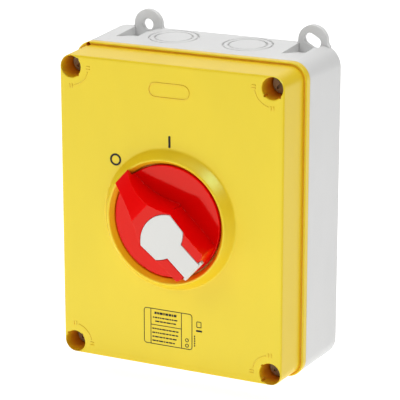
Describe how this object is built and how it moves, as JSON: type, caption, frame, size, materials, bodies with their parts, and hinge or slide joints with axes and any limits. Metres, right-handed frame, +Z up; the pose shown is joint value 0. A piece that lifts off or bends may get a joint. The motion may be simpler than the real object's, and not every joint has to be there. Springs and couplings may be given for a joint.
{
  "type": "rotary isolator switch",
  "caption": "Wall-mounted insulating box with a quarter-turn lid and a lockable red rotary handle that drives a stacked contact block.",
  "frame": {"origin": "centre of the flat back face that lies against the wall", "axes": "+Y into the wall, +Z up, +X to the right seen from the front; the handle faces -Y"},
  "size_m": [0.146, 0.0883, 0.2064],
  "materials": {
    "box_grey": "light grey moulded, fine satin texture",
    "lid_yellow": "warm yellow moulded, satin gloss",
    "handle_red": "signal red moulded, satin on flat fronts and glossy on walls",
    "slide_grey": "pale grey moulded",
    "lid_screw_grey": "grey moulded",
    "switch_grey": "dark grey glass-filled",
    "latch_grey": "grey moulded",
    "rotor_white": "off-white moulded",
    "contact_brass": "bare stamped brass",
    "zinc_steel": "bright zinc plated",
    "seal_rubber": "black elastomer",
    "print_black": "black pad print"
  },
  "bodies": {
    "base": {"base_box": "box_grey", "din_rail": "zinc_steel", "rail_screws": "zinc_steel", "switch_foot": "switch_grey", "contact_deck_1": "switch_grey", "contact_deck_2": "switch_grey", "contact_deck_3": "switch_grey", "fixed_contacts_1": "contact_brass", "fixed_contacts_2": "contact_brass", "fixed_contacts_3": "contact_brass", "terminal_clamps": "contact_brass", "terminal_screws": "zinc_steel", "index_housing": "switch_grey", "index_spring": "zinc_steel", "tie_bolts": "zinc_steel", "earth_terminal": "contact_brass", "earth_screws": "zinc_steel"},
    "latch": {"din_latch": "latch_grey"},
    "shaft": {"drive_shaft": "zinc_steel", "index_disc": "rotor_white", "rotor_1": "rotor_white", "rotor_2": "rotor_white", "rotor_3": "rotor_white", "moving_contact_1": "contact_brass", "moving_contact_2": "contact_brass", "moving_contact_3": "contact_brass"},
    "lid": {"lid": "lid_yellow", "lid_gasket": "seal_rubber", "position_marks": "print_black", "rating_label": "print_black"},
    "handle": {"handle": "handle_red", "handle_seal": "seal_rubber", "handle_clip": "zinc_steel"},
    "padlock_slide": {"padlock_slide": "slide_grey"},
    "lid_screw_top_left": {"lid_screw_top_left": "lid_screw_grey"},
    "lid_screw_top_right": {"lid_screw_top_right": "lid_screw_grey"},
    "lid_screw_bottom_left": {"lid_screw_bottom_left": "lid_screw_grey"},
    "lid_screw_bottom_right": {"lid_screw_bottom_right": "lid_screw_grey"}
  },
  "joints": [
    {"name": "lid_pull_off", "type": "slide", "parent": "base", "child": "lid", "axis": [0, -1, 0], "range_m": [0, 0.06]},
    {"name": "handle_turn", "type": "hinge", "parent": "lid", "child": "handle", "pos_m": [0, -0.0689, 0], "axis": [0, 1, 0], "range_deg": [0, 47.5]},
    {"name": "shaft_turn", "type": "hinge", "parent": "base", "child": "shaft", "pos_m": [0, -0.04, 0], "axis": [0, 1, 0], "range_deg": [0, 47.5]},
    {"name": "padlock_slide_pull", "type": "slide", "parent": "handle", "child": "padlock_slide", "axis": [0, -1, 0], "range_m": [0, 0.0095]},
    {"name": "rail_latch_pull", "type": "slide", "parent": "base", "child": "latch", "axis": [0, 0, -1], "range_m": [0, 0.003], "stiffness_N_per_m": 400, "springref_m": -0.002},
    {"name": "lid_screw_top_left_turn", "type": "hinge", "parent": "lid", "child": "lid_screw_top_left", "pos_m": [-0.0615, -0.05, 0.0813], "axis": [0, -1, 0], "range_deg": [0, 90]},
    {"name": "lid_screw_top_right_turn", "type": "hinge", "parent": "lid", "child": "lid_screw_top_right", "pos_m": [0.0615, -0.05, 0.0813], "axis": [0, -1, 0], "range_deg": [0, 90]},
    {"name": "lid_screw_bottom_left_turn", "type": "hinge", "parent": "lid", "child": "lid_screw_bottom_left", "pos_m": [-0.0615, -0.05, -0.0813], "axis": [0, -1, 0], "range_deg": [0, 90]},
    {"name": "lid_screw_bottom_right_turn", "type": "hinge", "parent": "lid", "child": "lid_screw_bottom_right", "pos_m": [0.0615, -0.05, -0.0813], "axis": [0, -1, 0], "range_deg": [0, 90]}
  ],
  "couplings": [
    {"joint": "shaft_turn", "follows": "handle_turn", "ratio": 1}
  ]
}
